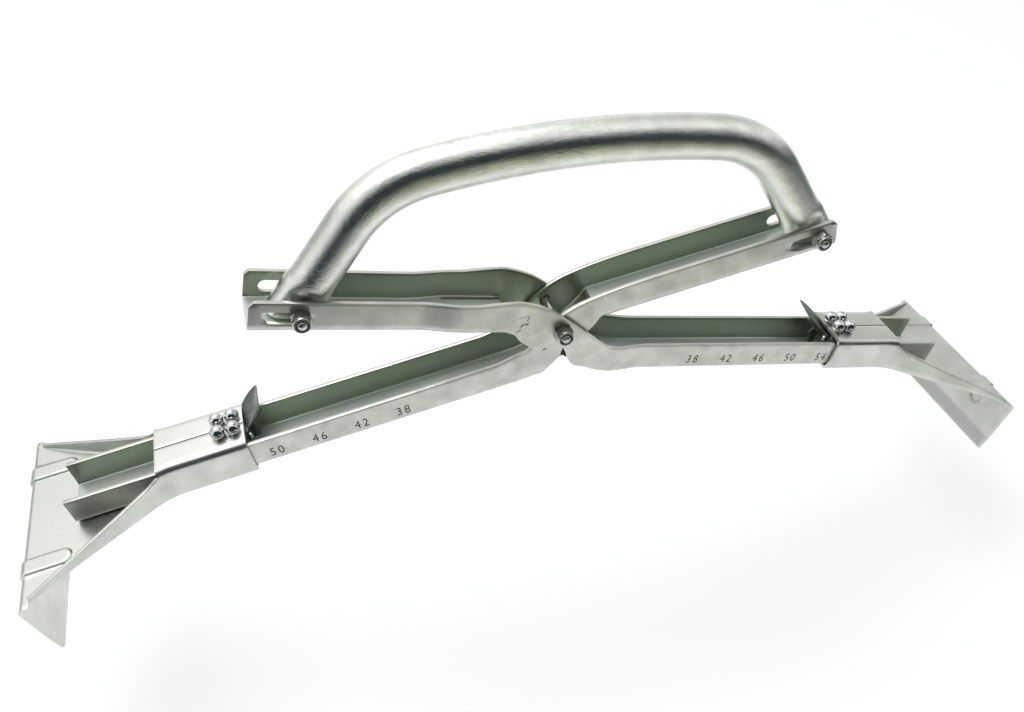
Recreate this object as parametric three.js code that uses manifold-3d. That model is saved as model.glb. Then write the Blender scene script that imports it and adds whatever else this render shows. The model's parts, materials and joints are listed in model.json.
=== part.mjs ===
// Paving slab lifter: a tube handle on two crossed sheet-steel levers, each with a sliding jaw.
// Millimetres, +X to the right, +Y away from the front, +Z up; the origin is the middle of the grip.
import * as THREE from 'three';
import { mergeVertices } from 'three/addons/utils/BufferGeometryUtils.js';
import Module from 'manifold-3d';

const wasm = await Module();
wasm.setup();

// Sheet, gaps and cuts
const sheet = 2;
const seatGap = 0.3;
const overrun = 5;

// Lever channels, in the frame of one lever: the middle bolt at the origin, the lower arm along +X
const channelWidth = 25;
const armHeight = 15;
const upperDrop = 1.5;
const lowerDrop = 10.5;
const upperLength = 140;
const lowerLength = 233.5;
const armCorner = 2;
const upperWebStart = 24;
const lowerWebStart = 11;
const upperJoggleStart = 48;
const upperJoggleEnd = 70;
const lowerJoggleStart = 32;
const lowerJoggleEnd = 50;

// Slots of the upper arms and the three bolts
const pinRise = 6;
const slotMargin = 6;
const slotLength = 18;
const slotHeight = 6;
const endPlay = 0.4;
const boltRadius = 2.5;
const hexFlats = 8;
const headHeight = 3.5;
const nutHeight = 3.8;
const collarHeight = 1.3;
const collarRadius = 3.8;
const ringRadius = 3.2;
const ringHeight = 0.9;
const tipLength = 0.9;

// Handle; the two levers' slopes at rest add up to restSlopes, in degrees
const restSlopes = 21.666;
const handleRise = 58.5;
const tubeRadius = 10;
const bendRadius = 51;
const legSlope = 54;
const crownSlope = 9.2;
const flatHalfWidth = 10.8;
const flatHalfThickness = 7;
const flatStart = 22;
const flatEnd = 9;
const tubeEnd = 12;
const webClearance = 0.5;
const slopeLeast = 3;
const slopeMost = 19;

// Jaws, measured from the mouth of the sleeve outwards
const jawSheet = 1.5;
const sleeveGap = 0.35;
const sleeveLength = 41;
const seamWidth = 0.7;
const foldDistance = 107.5;
const foldHalfWidth = 50;
const wallEnd = 102;
const wallEndHeight = 2;
const flapDrop = 31.5;
const flapLean = 2.9;
const lipHeight = 8;
const lipLean = 1.6;
const beadPlace = 28;
const beadHalfWidth = 4.5;
const beadHeight = 1.2;
const beadLength = 22;
const beadDrop = 12;

// Length of each lower arm past the mouth of its jaw's sleeve, as the jaws are set
const leftArmPastMouth = 82.5;
const rightArmPastMouth = 69.2;

// Latches
const rivetNear = 5;
const rivetPitch = 7;
const rivetSpread = 4.1;
const rivetHeadRadius = 3.4;
const rivetHeadHeight = 3.2;
const rivetShankRadius = 1.4;
const rivetTailRadius = 2.2;
const rivetTailHeight = 0.9;
const leafSheet = 0.8;
const leafHalfWidth = 8.5;
const leafLength = 21;
const tabWidth = 18.2;
const tabReach = 9.7;
const tabTilt = 24;
const tabLean = 14;
const pawlWidth = 3;
const pawlPlace = 3.7;
const pawlDrop = 9.5;
const studRadius = 1.5;
const studHeight = 1.1;
const studShankRadius = 0.7;
const studDrop = 1.9;
const studTail = 0.6;
const studSides = 12;

const circleSides = 24;
const rad = THREE.MathUtils.degToRad;

const finishes = {
  zinc: { color: 0xb9bdb4, roughness: 0.42, metalness: 1 },
  satin: { color: 0xa7aaa2, roughness: 0.5, metalness: 1 },
  bright: { color: 0xd6d8d6, roughness: 0.22, metalness: 1 },
  nylon: { color: 0x6f8f86, roughness: 0.55, metalness: 0 },
};

function meshOf(name, geometry, finish) {
  const mesh = new THREE.Mesh(geometry, new THREE.MeshStandardMaterial(finishes[finish]));
  mesh.name = name;
  return mesh;
}

// Closed geometry to manifold solid and back
function solid(geometry) {
  const bare = geometry.clone();
  bare.deleteAttribute('normal');
  bare.deleteAttribute('uv');
  const merged = mergeVertices(bare);
  const vertProperties = new Float32Array(merged.attributes.position.array);
  const triVerts = new Uint32Array(merged.index.array);
  return new wasm.Manifold(new wasm.Mesh({ numProp: 3, vertProperties, triVerts }));
}

function geometryOf(shape) {
  const { vertProperties, triVerts } = shape.getMesh();
  const geometry = new THREE.BufferGeometry();
  geometry.setAttribute('position', new THREE.BufferAttribute(vertProperties, 3));
  geometry.setIndex(new THREE.BufferAttribute(triVerts, 1));
  return geometry;
}

function joined(shapes) {
  return shapes.reduce((sum, shape) => sum.add(shape));
}

// A plate along X whose corners at each station come from functions of x
function bentBox(stations, corners) {
  const geometry = new THREE.BoxGeometry(1, 1, 1, stations.length - 1, 1, 1);
  const place = geometry.attributes.position;
  for (let i = 0; i < place.count; i += 1) {
    const x = stations[Math.round((place.getX(i) + 0.5) * (stations.length - 1))];
    const { near, far, low, high } = corners(x);
    const y = place.getY(i) < 0 ? near : far;
    const z = place.getZ(i) < 0 ? low : high;
    place.setXYZ(i, x, y, z);
  }
  return geometry;
}

function inOrder(a, b) {
  return { near: Math.min(a, b), far: Math.max(a, b) };
}

function block(x0, x1, y0, y1, z0, z1) {
  const box = new THREE.BoxGeometry(x1 - x0, y1 - y0, z1 - z0);
  return solid(box.translate((x0 + x1) / 2, (y0 + y1) / 2, (z0 + z1) / 2));
}

// A round bar along Y, or a prism with few sides
function bar(radius, y0, y1, sides = circleSides) {
  const cylinder = new THREE.CylinderGeometry(radius, radius, y1 - y0, sides);
  return cylinder.translate(0, (y0 + y1) / 2, 0);
}

// Height along x of a line of points, straight between them
function lineThrough(points) {
  return (x) => {
    if (x <= points[0][0]) return points[0][1];
    for (let i = 1; i < points.length; i += 1) {
      const [x0, z0] = points[i - 1];
      const [x1, z1] = points[i];
      if (x <= x1) return z0 + ((z1 - z0) * (x - x0)) / (x1 - x0);
    }
    return points[points.length - 1][1];
  };
}

function sharedStations(start, end, ...lists) {
  const inside = lists.flat().filter((x) => x > start && x < end);
  return [...new Set([start, ...inside, end])].sort((a, b) => a - b);
}

// Rest position of the linkage: both outer pins lie almost at an end of their slots, and the middle bolt
// and the two pins form a triangle whose two shorter sides and corner are known
const slotEnd = upperLength - slotMargin;
const slotInner = slotEnd - slotLength;
const pinReachFront = slotInner + boltRadius + endPlay;
const pinReachBack = slotEnd - boltRadius - endPlay;
const frontSide = Math.hypot(pinReachFront, pinRise);
const backSide = Math.hypot(pinReachBack, pinRise);
const frontLift = Math.atan(pinRise / pinReachFront);
const backLift = Math.atan(pinRise / pinReachBack);
const middleCorner = Math.PI - rad(restSlopes) - frontLift - backLift;
const pinSpan = Math.sqrt(frontSide ** 2 + backSide ** 2 - 2 * frontSide * backSide * Math.cos(middleCorner));
const halfPins = pinSpan / 2;
const backSlope = Math.asin((frontSide * Math.sin(middleCorner)) / pinSpan) - backLift;
const frontSlope = rad(restSlopes) - backSlope;
const pivotX = -halfPins + pinReachFront * Math.cos(frontSlope) - pinRise * Math.sin(frontSlope);
const pivotZ = -handleRise - pinReachFront * Math.sin(frontSlope) - pinRise * Math.cos(frontSlope);

// Edges of a lever's side plates round the middle bolt, as shares of the arm height
const frontTopShares = [[-3, 0.9], [-2.27, 1], [-1.6, 1.07], [-0.98, 0.95], [-0.44, 0.77], [0.05, 0.49],
  [0.57, 0.17], [0.96, -0.11], [1.73, -0.58], [2.07, -0.7]];
const frontFootShares = [[-1.5, -0.1], [-1.4, -0.31], [-0.85, -0.63], [-0.46, -0.75], [-0.27, -0.56],
  [-0.08, -0.25], [0.17, -0.6], [0.37, -0.82], [0.43, -1.02], [0.63, -1.26], [1.04, -1.47],
  [1.67, -1.65], [2.07, -1.7]];
const backTopShares = [[-3, 0.9], [-2.2, 0.88], [-1.5, 0.83], [-0.9, 0.76], [-0.44, 0.66], [0.05, 0.45],
  [0.57, 0.1], [0.99, -0.45], [1.6, -0.58], [2.2, -0.7]];
const backFootShares = [[-1.3, -0.1], [-1.2, -0.3], [-0.8, -0.6], [-0.46, -0.72], [-0.25, -0.55],
  [-0.05, -0.3], [0.03, -0.72], [0.2, -1.01], [0.49, -1.17], [0.84, -1.34], [1.32, -1.57], [2.2, -1.7]];

function leverSolid(topShares, footShares, cheekHalfWidth) {
  const half = channelWidth / 2;
  const upperTop = armHeight - upperDrop;
  const lowerFoot = -lowerDrop - armHeight;
  const middleTop = topShares.slice(0, -1).map(([x, z]) => [x * armHeight, z * armHeight]);
  const middleFoot = footShares.slice(1, -1).map(([x, z]) => [x * armHeight, z * armHeight]);
  const topEnd = topShares[topShares.length - 1][0] * armHeight;
  const footStart = footShares[0][0] * armHeight;
  const footEnd = footShares[footShares.length - 1][0] * armHeight;
  const top = lineThrough([[-upperLength, upperTop], ...middleTop, [topEnd, -lowerDrop],
    [lowerLength, -lowerDrop]]);
  const foot = lineThrough([[-upperLength, -upperDrop], [footStart, -upperDrop], ...middleFoot,
    [footEnd, lowerFoot], [lowerLength, lowerFoot]]);
  const outer = lineThrough([[-upperJoggleEnd, half], [-upperJoggleStart, cheekHalfWidth],
    [lowerJoggleStart, cheekHalfWidth], [lowerJoggleEnd, half]]);
  const topX = middleTop.map(([x]) => x).concat(topEnd);
  const footX = middleFoot.map(([x]) => x).concat(footStart, footEnd);
  const joggleX = [-upperJoggleEnd, -upperJoggleStart, lowerJoggleStart, lowerJoggleEnd];
  const plateX = sharedStations(-upperLength, lowerLength, topX, footX, joggleX);

  const plates = [-1, 1].map((side) => solid(bentBox(plateX, (x) => {
    const outside = side * outer(x);
    const inside = side * (outer(x) - sheet);
    return { ...inOrder(outside, inside), low: foot(x), high: top(x) };
  })));
  const upperWebX = sharedStations(-upperLength, -upperWebStart, joggleX);
  const upperWeb = solid(bentBox(upperWebX, (x) => (
    { near: -outer(x), far: outer(x), low: -upperDrop, high: sheet - upperDrop })));
  const lowerWebX = sharedStations(lowerWebStart, lowerLength, footX, joggleX);
  const lowerWeb = solid(bentBox(lowerWebX, (x) => (
    { near: -outer(x), far: outer(x), low: foot(x), high: foot(x) + sheet })));

  const reach = cheekHalfWidth + overrun;
  const slotRadius = slotHeight / 2;
  const slotEnds = [slotInner + slotRadius, slotEnd - slotRadius];
  const slotRounds = slotEnds.map((x) => solid(bar(slotRadius, -reach, reach).translate(-x, 0, pinRise)));
  const slotMiddle = block(-slotEnds[1], -slotEnds[0], -reach, reach,
    pinRise - slotRadius, pinRise + slotRadius);
  const boltHole = solid(bar(boltRadius + seatGap, -reach, reach));
  const corner = solid(new THREE.CylinderGeometry(armCorner, armCorner, 2 * reach, 4)
    .translate(-upperLength, 0, upperTop));
  const cuts = joined([...slotRounds, slotMiddle, boltHole, corner]);
  return joined([...plates, upperWeb, lowerWeb]).subtract(cuts);
}

// Handle: crown arc, bend arc and straight leg on each side; leg length and crown radius follow from the rest
function handlePath() {
  const leg = rad(legSlope);
  const crown = rad(crownSlope);
  const bendAcross = bendRadius * (Math.sin(leg) - Math.sin(crown));
  const bendDown = bendRadius * (Math.cos(crown) - Math.cos(leg));
  const level = handleRise - bendDown - Math.tan(leg) * (halfPins - bendAcross);
  const crownRadius = level / (1 - Math.cos(crown) - Math.tan(leg) * Math.sin(crown));
  const crownAcross = crownRadius * Math.sin(crown);
  const crownDown = crownRadius * (1 - Math.cos(crown));
  const legLength = (halfPins - crownAcross - bendAcross) / Math.cos(leg);
  const crownLength = crownRadius * crown;
  const bendLength = bendRadius * (leg - crown);
  const total = crownLength + bendLength + legLength + tubeEnd;

  function at(distance) {
    const side = Math.sign(distance);
    const s = Math.abs(distance);
    if (s <= crownLength) {
      const turn = s / crownRadius;
      const z = crownRadius * (Math.cos(turn) - 1);
      return { x: side * crownRadius * Math.sin(turn), z, turn: side * turn };
    }
    if (s <= crownLength + bendLength) {
      const turn = crown + (s - crownLength) / bendRadius;
      return {
        x: side * (crownAcross + bendRadius * (Math.sin(turn) - Math.sin(crown))),
        z: -crownDown - bendRadius * (Math.cos(crown) - Math.cos(turn)),
        turn: side * turn,
      };
    }
    const along = s - crownLength - bendLength;
    return {
      x: side * (crownAcross + bendAcross + along * Math.cos(leg)),
      z: -crownDown - bendDown - along * Math.sin(leg),
      turn: side * leg,
    };
  }
  return { at, total, crownLength, bendLength, pinAt: total - tubeEnd };
}

function handleSolid() {
  const crownSteps = 6;
  const bendSteps = 8;
  const legSteps = 9;
  const path = handlePath();
  const steps = [];
  for (let i = 0; i < crownSteps; i += 1) steps.push((path.crownLength * i) / crownSteps);
  for (let i = 0; i < bendSteps; i += 1) steps.push(path.crownLength + (path.bendLength * i) / bendSteps);
  const straightStart = path.crownLength + path.bendLength;
  for (let i = 0; i <= legSteps; i += 1) {
    steps.push(straightStart + ((path.total - straightStart) * i) / legSteps);
  }
  const stations = [...steps.slice(1).reverse().map((s) => -s), ...steps];
  const tube = new THREE.CylinderGeometry(1, 1, 1, circleSides, stations.length - 1);
  const place = tube.attributes.position;
  for (let i = 0; i < place.count; i += 1) {
    const s = stations[Math.round((place.getY(i) + 0.5) * (stations.length - 1))];
    const { x, z, turn } = path.at(s);
    const flat = THREE.MathUtils.smoothstep(Math.abs(s), path.pinAt - flatStart, path.pinAt - flatEnd);
    const inPlane = THREE.MathUtils.lerp(tubeRadius, flatHalfWidth, flat) * place.getX(i);
    const across = THREE.MathUtils.lerp(tubeRadius, flatHalfThickness, flat) * place.getZ(i);
    place.setXYZ(i, x + inPlane * Math.sin(turn), across, z + inPlane * Math.cos(turn));
  }
  let shape = solid(tube);
  const webReach = pinRise + upperDrop - sheet - webClearance;
  const cutter = handleRise;
  [-1, 1].forEach((side) => {
    [slopeLeast, slopeMost].forEach((slope) => {
      const box = new THREE.BoxGeometry(2 * cutter, 2 * cutter, cutter);
      box.translate(0, 0, -cutter / 2 - webReach).rotateY(-side * rad(slope));
      shape = shape.subtract(solid(box.translate(side * halfPins, 0, -handleRise)));
    });
    const hole = bar(boltRadius + seatGap, -tubeRadius - overrun, tubeRadius + overrun);
    shape = shape.subtract(solid(hole.translate(side * halfPins, 0, -handleRise)));
  });
  return shape;
}

// Bolt with its head at the back and a lock nut with its ring at the front, round an axis along Y
function addFastener(group, name, halfWidth) {
  const hexRadius = hexFlats / Math.sqrt(3);
  const seat = halfWidth + seatGap;
  const nutFront = -seat - nutHeight;
  const collarFront = nutFront - collarHeight;
  const shank = solid(bar(boltRadius, collarFront - tipLength, seat + headHeight / 2));
  const head = solid(bar(hexRadius, seat, seat + headHeight, 6));
  group.add(meshOf(`${name}_bolt`, geometryOf(shank.add(head)), 'zinc'));

  const hex = solid(bar(hexRadius, nutFront, -seat, 6));
  const collar = solid(bar(collarRadius, collarFront, -seat - nutHeight / 2));
  const bore = solid(bar(boltRadius + seatGap / 2, collarFront - overrun, -seat + overrun));
  const recessBack = collarFront + ringHeight + seatGap;
  const recess = solid(bar(ringRadius + seatGap / 2, collarFront - overrun, recessBack));
  const nut = hex.add(collar).subtract(bore.add(recess));
  group.add(meshOf(`${name}_nut`, geometryOf(nut), 'zinc'));

  const ringOuter = solid(bar(ringRadius, collarFront, collarFront + ringHeight));
  const ringHole = solid(bar(boltRadius + seatGap / 2, collarFront - overrun, collarFront + overrun));
  group.add(meshOf(`${name}_ring`, geometryOf(ringOuter.subtract(ringHole)), 'nylon'));
}

// Jaw frame: origin on the lever's own line at the mouth of the sleeve, +X outwards
const jawFoot = -lowerDrop - armHeight - sleeveGap - jawSheet;
const jawTop = -lowerDrop + sleeveGap + jawSheet;
const sleeveHalfWidth = channelWidth / 2 + sleeveGap + jawSheet;

// A plate made along X, turned to stand up from the top of the jaw's floor
function upright(geometry) {
  return solid(geometry.rotateY(-Math.PI / 2).translate(0, 0, jawFoot + jawSheet));
}

function jawSolid() {
  const edge = lineThrough([[0, sleeveHalfWidth], [sleeveLength, sleeveHalfWidth],
    [foldDistance, foldHalfWidth]]);
  const crest = lineThrough([[0, jawTop], [sleeveLength, jawTop], [wallEnd, jawFoot + wallEndHeight]]);
  const floor = solid(bentBox([0, sleeveLength, foldDistance], (x) => (
    { near: -edge(x), far: edge(x), low: jawFoot, high: jawFoot + jawSheet })));
  const walls = [-1, 1].map((side) => solid(bentBox([0, sleeveLength, wallEnd], (x) => {
    const outside = side * edge(x);
    const inside = side * (edge(x) - jawSheet);
    return { ...inOrder(outside, inside), low: jawFoot, high: crest(x) };
  })));
  const roofs = [-1, 1].map((side) => {
    const { near, far } = inOrder(side * sleeveHalfWidth, side * (seamWidth / 2));
    return block(0, sleeveLength, near, far, jawTop - jawSheet, jawTop);
  });
  // The flap runs down from the fold, then its lip leans in a little more
  const across = lineThrough([[-flapDrop, -flapLean - lipLean], [lipHeight - flapDrop, -flapLean], [0, 0]]);
  const drops = [-flapDrop, lipHeight - flapDrop, 0];
  const flap = upright(bentBox(drops, (drop) => {
    const outside = foldDistance + across(drop);
    return { near: -foldHalfWidth, far: foldHalfWidth, low: -outside, high: jawSheet - outside };
  }));
  const beads = [-1, 1].map((side) => {
    const y0 = side * beadPlace - beadHalfWidth;
    const y1 = side * beadPlace + beadHalfWidth;
    const lean = (flapLean * beadDrop) / (flapDrop - lipHeight);
    const onFloor = block(foldDistance - beadLength, foldDistance, y0, y1,
      jawFoot, jawFoot + jawSheet + beadHeight);
    const onFlap = upright(bentBox([-beadDrop, beadHeight], (drop) => {
      const outside = foldDistance + beadHeight - (drop < 0 ? lean : 0);
      return { near: y0, far: y1, low: -outside, high: beadHeight + jawSheet - outside };
    }));
    return onFloor.add(onFlap);
  });
  const rivetHoles = rivetPlaces().map(([x, y]) => solid(post(rivetShankRadius + seatGap,
    jawTop - jawSheet - overrun, jawTop + overrun).translate(x, y, 0)));
  return joined([floor, ...walls, ...roofs, flap, ...beads]).subtract(joined(rivetHoles));
}

function post(radius, z0, z1, sides = circleSides) {
  const cylinder = new THREE.CylinderGeometry(radius, radius, z1 - z0, sides);
  return cylinder.rotateX(Math.PI / 2).translate(0, 0, (z0 + z1) / 2);
}

function rivetPlaces() {
  return [0, 1].flatMap((row) => [-1, 1].map((side) => [rivetNear + row * rivetPitch, side * rivetSpread]));
}

const leafTop = jawTop - jawSheet - seatGap;
const leafFoot = leafTop - leafSheet;

function leafSolid() {
  const plate = block(0, leafLength, -leafHalfWidth, leafHalfWidth, leafFoot, leafTop);
  const holes = rivetPlaces().map(([x, y]) => solid(post(rivetShankRadius + seatGap,
    leafFoot - overrun, leafTop + overrun / 2).translate(x, y, 0)));
  return plate.subtract(joined(holes));
}

// Domed head above the sleeve, shank through sleeve and leaf, flat tail under the leaf
function rivetGeometry() {
  const headFoot = jawTop + seatGap;
  const tailTop = leafFoot - seatGap;
  const domeSteps = 5;
  const outline = [new THREE.Vector2(0, tailTop - rivetTailHeight),
    new THREE.Vector2(rivetTailRadius, tailTop - rivetTailHeight),
    new THREE.Vector2(rivetTailRadius, tailTop),
    new THREE.Vector2(rivetShankRadius, tailTop),
    new THREE.Vector2(rivetShankRadius, headFoot)];
  for (let i = 0; i < domeSteps; i += 1) {
    const turn = (i / domeSteps) * (Math.PI / 2);
    const height = headFoot + rivetHeadHeight * Math.sin(turn);
    outline.push(new THREE.Vector2(rivetHeadRadius * Math.cos(turn), height));
  }
  outline.push(new THREE.Vector2(0, headFoot + rivetHeadHeight));
  return geometryOf(solid(new THREE.LatheGeometry(outline, circleSides).rotateX(Math.PI / 2)));
}

// Outline of the thumb tab seen from above, as shares of its reach inwards and its width
const tabShares = [[0, -0.12], [-0.35, 0], [-0.9, 0.33], [-1, 1], [0, 0.7]];

// The tab leans up from the mouth, and the pawl hangs from it into the channel; back is the far side
const latchRoot = -seatGap;

function latchSolid(back) {
  const corners = tabShares.map(([x, y]) => new THREE.Vector2(x * tabReach, back * y * tabWidth));
  const outline = new THREE.Shape(corners);
  const tab = new THREE.ExtrudeGeometry(outline, { depth: leafSheet, bevelEnabled: false });
  tab.rotateY(rad(tabTilt)).rotateX(back * rad(tabLean));
  tab.translate(latchRoot - leafSheet * Math.sin(rad(tabTilt)), 0, leafFoot);
  const pawlY = -back * pawlPlace;
  const pawlEdge = pawlY - (back * pawlWidth) / 2;
  const rootEnds = [pawlEdge, back * leafHalfWidth];
  const strip = block(latchRoot - leafSheet, latchRoot, pawlY - pawlWidth / 2, pawlY + pawlWidth / 2,
    leafFoot - pawlDrop, leafTop);
  const { near, far } = inOrder(...rootEnds);
  const root = block(latchRoot - leafSheet, latchRoot, near, far, leafFoot, leafTop);
  const holeRadius = studShankRadius + seatGap;
  const hole = solid(new THREE.CylinderGeometry(holeRadius, holeRadius, 2 * overrun, studSides)
    .rotateZ(Math.PI / 2).translate(0, pawlY, leafFoot - studDrop));
  return solid(tab).add(strip).add(root).subtract(hole);
}

// Small stud through the pawl, its round head on the inner side and its tail on the outer
function studGeometry() {
  const headFoot = leafSheet + 2 * seatGap;
  const domeSteps = 4;
  const outline = [new THREE.Vector2(0, -studTail), new THREE.Vector2(studRadius, -studTail),
    new THREE.Vector2(studRadius, 0), new THREE.Vector2(studShankRadius, 0),
    new THREE.Vector2(studShankRadius, headFoot)];
  for (let i = 0; i < domeSteps; i += 1) {
    const turn = (i / domeSteps) * (Math.PI / 2);
    outline.push(new THREE.Vector2(studRadius * Math.cos(turn), headFoot + studHeight * Math.sin(turn)));
  }
  outline.push(new THREE.Vector2(0, headFoot + studHeight));
  return geometryOf(solid(new THREE.LatheGeometry(outline, studSides).rotateZ(Math.PI / 2)));
}

function jawGroup(name, mouth, back) {
  const group = new THREE.Group();
  group.add(meshOf(`${name}_jaw`, geometryOf(jawSolid()), 'zinc'));
  group.add(meshOf(`${name}_leaf`, geometryOf(leafSolid()), 'bright'));
  rivetPlaces().forEach(([x, y], index) => {
    const rivet = meshOf(`${name}_rivet_${index + 1}`, rivetGeometry(), 'bright');
    rivet.position.set(x, y, 0);
    group.add(rivet);
  });
  group.add(meshOf(`${name}_latch`, geometryOf(latchSolid(back)), 'satin'));
  const stud = meshOf(`${name}_stud`, studGeometry(), 'bright');
  stud.position.set(0, -back * pawlPlace, leafFoot - studDrop);
  group.add(stud);
  group.position.x = mouth;
  return group;
}

const cheekHalfWidth = channelWidth / 2 + seatGap + sheet;
const lifter = new THREE.Group();
lifter.add(meshOf('handle_tube', geometryOf(handleSolid()), 'satin'));

[['left', -halfPins], ['right', halfPins]].forEach(([name, x]) => {
  const pin = new THREE.Group();
  addFastener(pin, name, channelWidth / 2);
  pin.position.set(x, 0, -handleRise);
  lifter.add(pin);
});

const pivot = new THREE.Group();
addFastener(pivot, 'pivot', cheekHalfWidth);
pivot.position.set(pivotX, 0, pivotZ);
lifter.add(pivot);

const front = new THREE.Group();
const frontChannel = leverSolid(frontTopShares, frontFootShares, cheekHalfWidth);
front.add(meshOf('lever_front', geometryOf(frontChannel), 'zinc'));
front.add(jawGroup('right', lowerLength - rightArmPastMouth, 1));
front.position.copy(pivot.position);
front.rotation.y = frontSlope;
lifter.add(front);

// The back lever is the same way up but runs the other way, so it is turned half round first
const backTurn = new THREE.Group();
const backChannel = leverSolid(backTopShares, backFootShares, channelWidth / 2);
backTurn.add(meshOf('lever_back', geometryOf(backChannel), 'zinc'));
backTurn.add(jawGroup('left', lowerLength - leftArmPastMouth, -1));
backTurn.rotation.z = Math.PI;
const back = new THREE.Group();
back.add(backTurn);
back.position.copy(pivot.position);
back.rotation.y = -backSlope;
lifter.add(back);

export default lifter;
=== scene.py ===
import json
import math
import bmesh
import bpy
import numpy as np
from mathutils import Matrix, Vector


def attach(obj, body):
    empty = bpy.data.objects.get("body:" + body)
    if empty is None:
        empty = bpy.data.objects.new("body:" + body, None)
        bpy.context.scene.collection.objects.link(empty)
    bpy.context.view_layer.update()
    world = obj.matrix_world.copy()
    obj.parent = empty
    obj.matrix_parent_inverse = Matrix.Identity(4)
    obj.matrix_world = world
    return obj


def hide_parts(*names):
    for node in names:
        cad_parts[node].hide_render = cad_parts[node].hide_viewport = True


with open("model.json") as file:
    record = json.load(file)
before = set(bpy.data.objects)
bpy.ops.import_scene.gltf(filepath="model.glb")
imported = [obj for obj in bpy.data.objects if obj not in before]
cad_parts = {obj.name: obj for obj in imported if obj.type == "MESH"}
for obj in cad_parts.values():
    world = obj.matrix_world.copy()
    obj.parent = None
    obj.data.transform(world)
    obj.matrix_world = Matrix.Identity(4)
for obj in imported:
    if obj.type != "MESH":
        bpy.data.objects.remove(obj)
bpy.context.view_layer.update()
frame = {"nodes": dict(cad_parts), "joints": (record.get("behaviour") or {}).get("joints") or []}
mm = 0.001
tau = 2 * math.pi
joints = {joint["name"]: joint for joint in frame["joints"]}
print("packed model loaded:", len(frame["nodes"]), "nodes")


# Shared shape helpers; every piece is worked out in millimetres and put in its place in metres

# straight line through points, rounded by averaging it over a span
def softLine(points, x, span):
    places, heights = np.array(points, float).T
    offsets = np.linspace(-span / 2, span / 2, 9)
    return np.mean([np.interp(x + offset, places, heights) for offset in offsets], axis=0)


# 0 before start, 1 after end, and 3t^2 - 2t^3 between them
def smoothStep(x, start, end):
    t = np.clip((x - start) / (end - start), 0, 1)
    return t * t * (3 - 2 * t)


# quads of a rows-by-columns grid of points; a wrapped grid closes its columns into a ring
def gridQuads(rows, columns, wrap=False):
    index = np.arange(rows * columns).reshape(rows, columns)
    if wrap:
        index = np.concatenate([index, index[:, :1]], axis=1)
    return np.stack([index[:-1, :-1], index[1:, :-1], index[1:, 1:], index[:-1, 1:]], axis=-1)


# turn and origin of an arm: its own x runs outwards along the given axis and its own z points up
def armPose(axis, origin, along=0.0):
    out = np.array(axis) / np.linalg.norm(axis)
    way = math.copysign(1, out[0])
    up = np.array([-way * out[2], 0, way * out[0]])
    side = np.cross(up, out)
    return {"turn": np.stack([out, side, up], axis=1), "origin": np.array(origin) + out * along * mm}


rootPose = {"turn": np.eye(3), "origin": np.zeros(3)}


def addObject(name, data):
    item = bpy.data.objects.new(name, data)
    bpy.context.scene.collection.objects.link(item)
    return item


def addPiece(name, points, faces, pose=rootPose):
    world = np.asarray(points, float).reshape(-1, 3) * mm @ pose["turn"].T + pose["origin"]
    mesh = bpy.data.meshes.new(name)
    mesh.from_pydata(world.tolist(), [], [list(face) for face in faces])
    shape = bmesh.new()
    shape.from_mesh(mesh)
    bmesh.ops.remove_doubles(shape, verts=shape.verts, dist=0.002 * mm)
    bmesh.ops.delete(shape, geom=[v for v in shape.verts if not v.link_faces], context="VERTS")
    bmesh.ops.recalc_face_normals(shape, faces=shape.faces)
    shape.to_mesh(mesh)
    shape.free()
    return addObject(name, mesh)


# one list of points and one of faces from several shells
def joinShells(shells):
    points, faces, start = [], [], 0
    for shell, shellFaces in shells:
        points.append(shell)
        faces += [[start + index for index in face] for face in shellFaces]
        start += len(shell)
    return np.concatenate(points), faces


# gives the piece a modifier with these settings and writes it into its mesh
def applyModifier(piece, kind, **settings):
    modifier = piece.modifiers.new(kind.lower(), kind)
    for key, value in settings.items():
        setattr(modifier, key, value)
    bpy.context.view_layer.update()
    graph = bpy.context.evaluated_depsgraph_get()
    baked = bpy.data.meshes.new_from_object(piece.evaluated_get(graph))
    piece.modifiers.clear()
    piece.data = baked


def cutAway(piece, cutter, materialMode="INDEX"):
    applyModifier(piece, "BOOLEAN", operation="DIFFERENCE", solver="EXACT", object=cutter,
                  material_mode=materialMode)
    bpy.data.objects.remove(cutter)


# breaks the sheet's sharp edges and smooths what lies under the angle
def breakEdges(piece, width, angle=35):
    applyModifier(piece, "BEVEL", width=width * mm, segments=2, limit_method="ANGLE",
                  angle_limit=math.radians(angle), use_clamp_overlap=True)
    smoothFaces(piece, 50)


def smoothFaces(piece, angle):
    piece.data.shade_smooth()
    piece.data.set_sharp_from_angle(angle=math.radians(angle))


def dress(piece, material, slotName, body, *nodes):
    if not piece.data.materials:
        piece.data.materials.append(material)
    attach(piece, body)
    if nodes:
        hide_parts(*nodes)


# closed shell over a flat outline, between two places along the axis that the outline leaves out
def prismShell(outline, low, high, axis=1):
    ring, index = np.array(outline, float), np.arange(len(outline))
    after, above = np.roll(index, -1), index + len(index)
    faces = np.stack([index, after, after + len(index), above], axis=1).tolist()
    points = np.concatenate([np.insert(ring, axis, place, axis=1) for place in (low, high)])
    return points, faces + [index.tolist(), above.tolist()]


# closed prisms along y over outlines in x and z
def prismAlongY(name, outlines, near, far, pose):
    return addPiece(name, *joinShells([prismShell(outline, near, far) for outline in outlines]), pose)


# points of a closed ring with straight middle: two half circles joined by straight lines
def slotOutline(start, end, rise, radius, steps=16):
    turn = np.linspace(math.pi / 2, -math.pi / 2, steps)
    right = np.stack([end + radius * np.cos(turn), rise + radius * np.sin(turn)], axis=1)
    left = np.stack([start - radius * np.cos(turn), rise - radius * np.sin(turn)], axis=1)
    return np.concatenate([right, left])


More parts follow.
